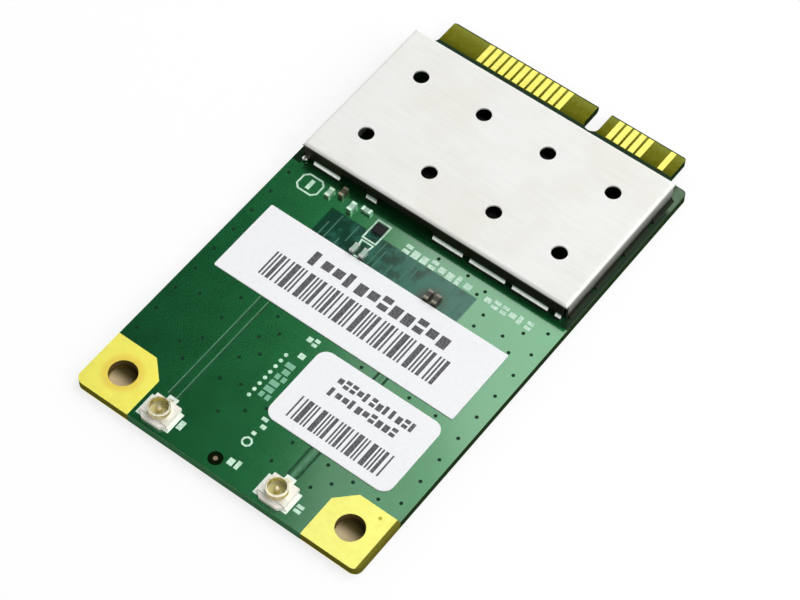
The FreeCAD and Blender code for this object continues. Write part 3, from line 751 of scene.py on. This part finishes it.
def placeSheet(box, base):
    left, low, right, high = inMm(box)
    sheet = bpy.context.object
    sheet.scale = (right - left, high - low, 1)
    sheet.location = ((left + right) / 2, (low + high) / 2, base)
    bpy.ops.object.transform_apply(location=True, rotation=True, scale=True)
    return sheet


# a grid whose unwanted cells are deleted, raised by the ink's thickness
def printCells(box, base, lift, columns, rows, keep):
    deselect()
    bpy.ops.mesh.primitive_grid_add(x_subdivisions=columns, y_subdivisions=rows, size=1)
    sheet = placeSheet(box, base)
    left, low, right, high = inMm(box)
    openAllFaces()
    bpy.ops.mesh.select_all(action="DESELECT")
    cells = bmesh.from_edit_mesh(sheet.data)
    for cell in cells.faces:
        middle = cell.calc_center_median()
        column = int((middle.x - left) / (right - left) * columns)
        row = int((middle.y - low) / (high - low) * rows)
        if not keep(column, row):
            cell.select_set(True)
    bmesh.update_edit_mesh(sheet.data)
    bpy.ops.mesh.delete(type="FACE")
    bpy.ops.mesh.select_all(action="SELECT")
    bpy.ops.mesh.dissolve_limited(angle_limit=flatAngle)
    raiseFaces(lift)
    return sheet


# a hollow outline: a plane with cut corners, inset, its middle deleted
def printOutline(box, base, lift, line, corner=0.0, narrowEnd=1.0):
    deselect()
    bpy.ops.mesh.primitive_plane_add(size=1)
    sheet = placeSheet(box, base)
    openAllFaces()
    if narrowEnd != 1.0:
        middle = Vector(((box[0] + box[2]) / 2 * mm, (box[1] + box[3]) / 2 * mm, base))
        bpy.ops.mesh.select_mode(type="VERT")
        bpy.ops.mesh.select_all(action="DESELECT")
        points = bmesh.from_edit_mesh(sheet.data)
        for point in points.verts:
            point.select_set(point.co.y < middle.y)
        bmesh.update_edit_mesh(sheet.data)
        bpy.ops.transform.resize(value=(narrowEnd, 1, 1), center_override=middle)
        bpy.ops.mesh.select_mode(type="FACE")
        bpy.ops.mesh.select_all(action="SELECT")
    if corner:
        bpy.ops.mesh.bevel(offset=corner * mm, affect="VERTICES")
        bpy.ops.mesh.select_all(action="SELECT")
    bpy.ops.mesh.inset(thickness=line * mm)
    bpy.ops.mesh.delete(type="FACE")
    raiseFaces(lift)
    return sheet


def printStrip(box, base, lift):
    deselect()
    bpy.ops.mesh.primitive_plane_add(size=1)
    sheet = placeSheet(box, base)
    openAllFaces()
    raiseFaces(lift)
    return sheet


# a low round button whose top is inset by its rim and pressed in or drawn up
def roundDot(radius, base, lift, rim, dip):
    deselect()
    bpy.ops.mesh.primitive_circle_add(
        vertices=dotSides, radius=radius * mm, fill_type="NGON", location=(0, 0, base)
    )
    dot = bpy.context.object
    bpy.ops.object.transform_apply(location=True, rotation=True, scale=True)
    openAllFaces()
    bpy.ops.mesh.extrude_region_move(TRANSFORM_OT_translate={"value": (0, 0, lift)})
    bpy.ops.mesh.inset(thickness=radius * rim * mm)
    bpy.ops.transform.translate(value=(0, 0, dip))
    closePiece()
    return dot


def copyTo(piece, places):
    made = []
    for x, y in places:
        deselect()
        piece.select_set(True)
        bpy.context.view_layer.objects.active = piece
        bpy.ops.object.duplicate(linked=False)
        copy = bpy.context.object
        copy.location = (x * mm, y * mm, 0)
        made.append(copy)
    bpy.data.objects.remove(piece, do_unlink=True)
    return made


def joinPiece(sheets, name, finish):
    deselect()
    for sheet in sheets:
        sheet.select_set(True)
    bpy.context.view_layer.objects.active = sheets[0]
    if len(sheets) > 1:
        bpy.ops.object.join()
    bpy.ops.object.transform_apply(location=True, rotation=True, scale=True)
    piece = bpy.context.object
    piece.name = name
    piece.data.name = name
    piece.data.materials.clear()
    piece.data.materials.append(finishes[finish])
    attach(piece, "root")
    return piece


# Marks: plain blocks, four cells wide with their gap and five high

markWide = 4
markHigh = 5


def blockMark(column, row, start):
    mark, cell = divmod(column, markWide)
    kind = (mark * 7 + mark * mark // 3 + start) % 4
    if cell == markWide - 1:
        return False
    if kind == 0:
        return row != 2
    if kind == 1:
        return 1 <= row <= 3
    if kind == 2:
        return cell < 2
    return row < 4


def markRow(box, base, lift, count, start):
    return printCells(box, base, lift, count * markWide, markHigh, lambda c, r: blockMark(c, r, start))


def markColumn(box, base, lift, count, start):
    return printCells(box, base, lift, markHigh, count * markWide, lambda c, r: blockMark(r, c, start))


# Label print

inkLift = 0.008 * mm
largePrint = {
    "name": "largeLabelPrint",
    "start": 2,
    "bars": (-9.6, -7.7, 9.3, -4.9),
    "barModules": 106,
    "rows": [{"box": (-6.9, -4.3, 8.2, -2.8), "marks": 12}],
}
smallPrint = {
    "name": "smallLabelPrint",
    "start": 5,
    "bars": (1.3, -17.5, 11.1, -15.1),
    "barModules": 61,
    "rows": [
        {"box": (2.7, -12.5, 10.9, -11.6), "marks": 12},
        {"box": (2.7, -13.8, 9.9, -12.9), "marks": 10},
    ],
}


# bars of one to three modules with gaps of one or two, from a plain formula
def barColumns(count, start):
    inked = set()
    column = 0
    step = start
    while column < count:
        wide = (1, 2, 1, 3)[(step * step + step // 3) % 4]
        gap = (1, 1, 2)[(step * 5 + step // 4) % 3]
        inked.update(range(column, min(column + wide, count)))
        column += wide + gap
        step += 1
    return inked


def printLabel(look):
    modules = look["barModules"]
    inked = barColumns(modules, look["start"])
    sheets = [printCells(look["bars"], labelTop, inkLift, modules, 1, lambda column, row: column in inked)]
    for number, row in enumerate(look["rows"]):
        sheets.append(markRow(row["box"], labelTop, inkLift, row["marks"], look["start"] + number))
    return joinPiece(sheets, look["name"], "labelInk")


printLabel(largePrint)
printLabel(smallPrint)
print("stage: label print ready")

# Silkscreen

silkscreen = {
    "lift": 0.010 * mm,
    "line": 0.17,
    "outlines": [
        {"box": (-13.05, 1.5, -10.7, 3.5), "corner": 0.45},
        {"box": (-4.86, 0.8, -3.28, 3.25), "corner": 0.0},
        {"box": (-4.75, -1.2, -3.3, 0.68), "corner": 0.0, "narrowEnd": 0.5},
        {"box": (-0.13, -21.88, 0.83, -20.92), "corner": 0.28},
    ],
    "blocks": [
        (-12.08, 1.95, -11.67, 3.05), (-1.55, -12.35, -0.95, -11.8), (-0.1, -19.0, 0.5, -18.65),
        (0.3, -19.7, 0.8, -19.3), (0.1, -20.6, 0.5, -20.25),
    ],
    "rows": [
        {"box": (-1.2, 1.75, 6.2, 2.75), "marks": 8},
        {"box": (7.5, 1.75, 12.7, 2.65), "marks": 6},
        {"box": (-5.2, -24.0, -4.2, -23.1), "marks": 1},
        {"box": (0.25, -24.05, 1.75, -23.2), "marks": 2},
        {"box": (7.4, -24.2, 8.3, -23.4), "marks": 1},
        {"box": (-2.0, -10.75, -0.7, -9.9), "marks": 2},
    ],
    "columns": [{"box": (-1.85, -17.3, -0.75, -13.0), "marks": 6}],
    "dots": [(-2.4, -12.77 - 0.71 * step) for step in range(8)],
    "dotRadius": 0.19,
    "dotRim": 0.3,
    "dotCrown": 0.3,
}


def addSilkscreen(look):
    lift = look["lift"]
    sheets = [printStrip(box, boardTop, lift) for box in look["blocks"]]
    for part in look["outlines"]:
        narrow = part.get("narrowEnd", 1.0)
        sheets.append(printOutline(part["box"], boardTop, lift, look["line"], part["corner"], narrow))
    for number, row in enumerate(look["rows"]):
        sheets.append(markRow(row["box"], boardTop, lift, row["marks"], number))
    for number, column in enumerate(look["columns"]):
        sheets.append(markColumn(column["box"], boardTop, lift, column["marks"], number))
    crown = lift * look["dotCrown"]
    dot = roundDot(look["dotRadius"], boardTop, lift - crown, look["dotRim"], crown)
    sheets += copyTo(dot, look["dots"])
    return joinPiece(sheets, "silkscreenMarks", "silkscreenInk")


addSilkscreen(silkscreen)
print("stage: silkscreen ready")

# Vias and tracks under the mask

viaStep = 2.6
vias = {
    "radius": 0.17,
    "rim": 0.35,
    "lift": 0.010 * mm,
    "dip": -0.008 * mm,
    "places": [
        (1.89, 3.06), (4.94, 3.2), (6.7, 2.1), (7.1, 2.75), (12.2, 1.3), (8.39, 0.72), (10.96, 0.0),
        (8.42, -0.68), (12.35, -1.05), (13.9, 2.55), (-1.67, -19.17), (3.39, -19.17), (7.06, -19.06),
        (9.67, -19.1), (8.39, -20.3), (7.2, -21.6), (12.28, -19.1), (3.1, -21.6), (3.4, -9.85), (8.4, -9.8),
        (11.2, -9.85), (-3.6, -17.4), (-3.4, -20.6), (-0.38, -17.93), (-12.2, -12.4), (-10.4, -17.2),
    ]
    + [(14.0, -0.05 - viaStep * step) for step in range(8)]
    + [(-14.2, 2.4 - viaStep * step) for step in range(9)]
    + [(-9.1, -10.6 - viaStep * step) for step in range(4)]
    + [(-4.2, -11.47 - viaStep * step) for step in range(2)]
    + [(-5.4, -10.18 - viaStep * step) for step in range(4)],
}


def addVias(look):
    via = roundDot(look["radius"], boardTop, look["lift"], look["rim"], look["dip"])
    return joinPiece(copyTo(via, look["places"]), "viaDots", "viaMask")


addVias(vias)
print("stage: vias ready")

trackLift = 0.006 * mm
leftRuns = [(-21.75, -9.35)]
rightRuns = [(-21.75, -18.5), (-10.25, -9.35)]  # the small label covers the rest
feedLinesPale = [
    {"x": -7.87, "width": 0.12, "runs": leftRuns},
    {"x": -6.97, "width": 0.12, "runs": leftRuns},
    {"x": 5.37, "width": 0.30, "runs": rightRuns},
]
feedLinesDark = [
    {"x": -7.70, "width": 0.14, "runs": leftRuns},
    {"x": -6.80, "width": 0.14, "runs": leftRuns},
    {"x": 4.92, "width": 0.24, "runs": rightRuns},
    {"x": 5.82, "width": 0.24, "runs": rightRuns},
]
# fine tracks across the bare patch below the can
patchTracks = [
    {"x": place, "width": 0.13, "runs": [run]}
    for place, run in (
        (-8.1, (-1.8, 0.4)), (-7.5, (-1.8, 1.6)), (-6.3, (-1.8, -0.5)), (-5.7, (-0.4, 1.6)),
        (-2.7, (-1.8, 1.6)), (-2.2, (-1.8, 0.9)), (-0.9, (-1.8, 0.1)), (0.5, (-0.8, 1.6)),
        (1.1, (-1.8, 1.6)), (4.4, (-1.8, 0.7)), (4.9, (-1.8, 1.6)), (6.2, (-1.8, 1.1)),
    )
]


def addTracks(name, lines, finish):
    strips = []
    for line in lines:
        half = line["width"] / 2
        for low, high in line["runs"]:
            box = (line["x"] - half, low, line["x"] + half, high)
            strips.append(printStrip(box, boardTop, trackLift))
    return joinPiece(strips, name, finish)


addTracks("feedLinesPale", feedLinesPale, "feedLinePale")
addTracks("patchTracks", patchTracks, "patchTrack")
addTracks("feedLinesDark", feedLinesDark, "feedLineDark")
print("stage: tracks ready")

# solder drop at the can's front left corner
cornerDrop = {"radius": 0.28, "rim": 0.45, "place": (-13.95, 4.40), "lift": 0.24 * mm, "crown": 0.10 * mm}


def addCornerDrop(look):
    drop = roundDot(look["radius"], boardTop, look["lift"], look["rim"], look["crown"])
    return joinPiece(copyTo(drop, [look["place"]]), "cornerSolder", "solderTin")


addCornerDrop(cornerDrop)
print("stage: corner solder ready")

# Studio: floor, world and lamps

floorLook = {
    "size": 3.0,
    "drop": 0.02 * mm,
    "colour": (0.95, 0.95, 0.95),
    "rough": 0.9,
    "shade": (0.10, 0.075, 0.025),
    "shadePale": (0.62, 0.50, 0.30),
    "shadeBox": (-14.0, -24.8, 14.0, 20.0),
    "shadeSoft": 0.1,
    "shadeFade": (-21.9, -23.2),
    "whiteShare": 0.76,
}
worldLook = {"colour": (0.99, 1.0, 0.99), "horizon": 1.0, "ceiling": 0.015, "fade": (0.36, 0.68)}
softboxes = [
    {"name": "backSoftbox", "place": (0.155, 0.475, 0.60), "turn": 22.3, "size": (0.86, 0.90), "glow": 1.41},
    {"name": "turnedSoftbox", "place": (0.236, 0.475, 0.61), "turn": 45, "size": (0.86, 0.90), "glow": 1.41},
    {"name": "sideSoftbox", "place": (0.70, 0.05, 0.45), "turn": 0, "size": (0.50, 0.60), "glow": 3.0},
]


def addFloor(look):
    bpy.ops.mesh.primitive_plane_add(size=look["size"], location=(0, 0, -look["drop"]))
    floor = bpy.context.object
    floor.name = "studioFloor"
    material, tree, shader = startMaterial("studioFloor")
    shader.inputs["Roughness"].default_value = look["rough"]
    shader.inputs["Specular IOR Level"].default_value = 0
    # painted shade under the board, which its screw holes look down into, lighter towards the front of each
    # hole
    x, y = axes(tree, objectPoint(tree))[:2]
    under = inBox(tree, x, y, look["shadeBox"], look["shadeSoft"] * mm)
    pale = between(tree, y, *inMm(look["shadeFade"]))
    shade = blendColours(tree, pale, look["shade"], look["shadePale"])
    tree.links.new(blendColours(tree, under, look["colour"], shade), shader.inputs["Base Color"])
    # white to the eye and in reflections, with the shadow kept
    glow = tree.nodes.new("ShaderNodeEmission")
    path = tree.nodes.new("ShaderNodeLightPath")
    seen = sums(tree, "MAXIMUM", path.outputs["Is Camera Ray"], path.outputs["Is Glossy Ray"])
    seen = sums(tree, "MAXIMUM", seen, path.outputs["Is Transmission Ray"])
    share = sums(tree, "MULTIPLY", sums(tree, "SUBTRACT", 1, under), look["whiteShare"])
    share = sums(tree, "MULTIPLY", seen, share)
    mix = tree.nodes.new("ShaderNodeMixShader")
    output = tree.nodes["Material Output"]
    tree.links.new(share, mix.inputs["Fac"])
    tree.links.new(shader.outputs["BSDF"], mix.inputs[1])
    tree.links.new(glow.outputs["Emission"], mix.inputs[2])
    tree.links.new(mix.outputs["Shader"], output.inputs["Surface"])
    floor.data.materials.append(material)


# white walls round a dim ceiling
def setWorld(look):
    world = bpy.data.worlds.new("studioWorld")
    bpy.context.scene.world = world
    world.use_nodes = True
    tree = world.node_tree
    tree.nodes.clear()
    output = tree.nodes.new("ShaderNodeOutputWorld")
    backdrop = tree.nodes.new("ShaderNodeBackground")
    backdrop.inputs["Color"].default_value = (*look["colour"], 1)
    direction = tree.nodes.new("ShaderNodeTexCoord").outputs["Generated"]
    height = axes(tree, direction)[2]
    strength = between(tree, height, *look["fade"], look["horizon"], look["ceiling"])
    tree.links.new(strength, backdrop.inputs["Strength"])
    tree.links.new(backdrop.outputs["Background"], output.inputs["Surface"])


def addSoftbox(look):
    bpy.ops.object.light_add(
        type="AREA", location=look["place"], rotation=(0, 0, math.radians(look["turn"]))
    )
    lamp = bpy.context.object
    lamp.name = look["name"]
    lamp.data.shape = "RECTANGLE"
    lamp.data.size, lamp.data.size_y = look["size"]
    lamp.data.energy = look["glow"] * math.pi * look["size"][0] * look["size"][1]


addFloor(floorLook)
setWorld(worldLook)
for softbox in softboxes:
    addSoftbox(softbox)
print("stage: studio ready")
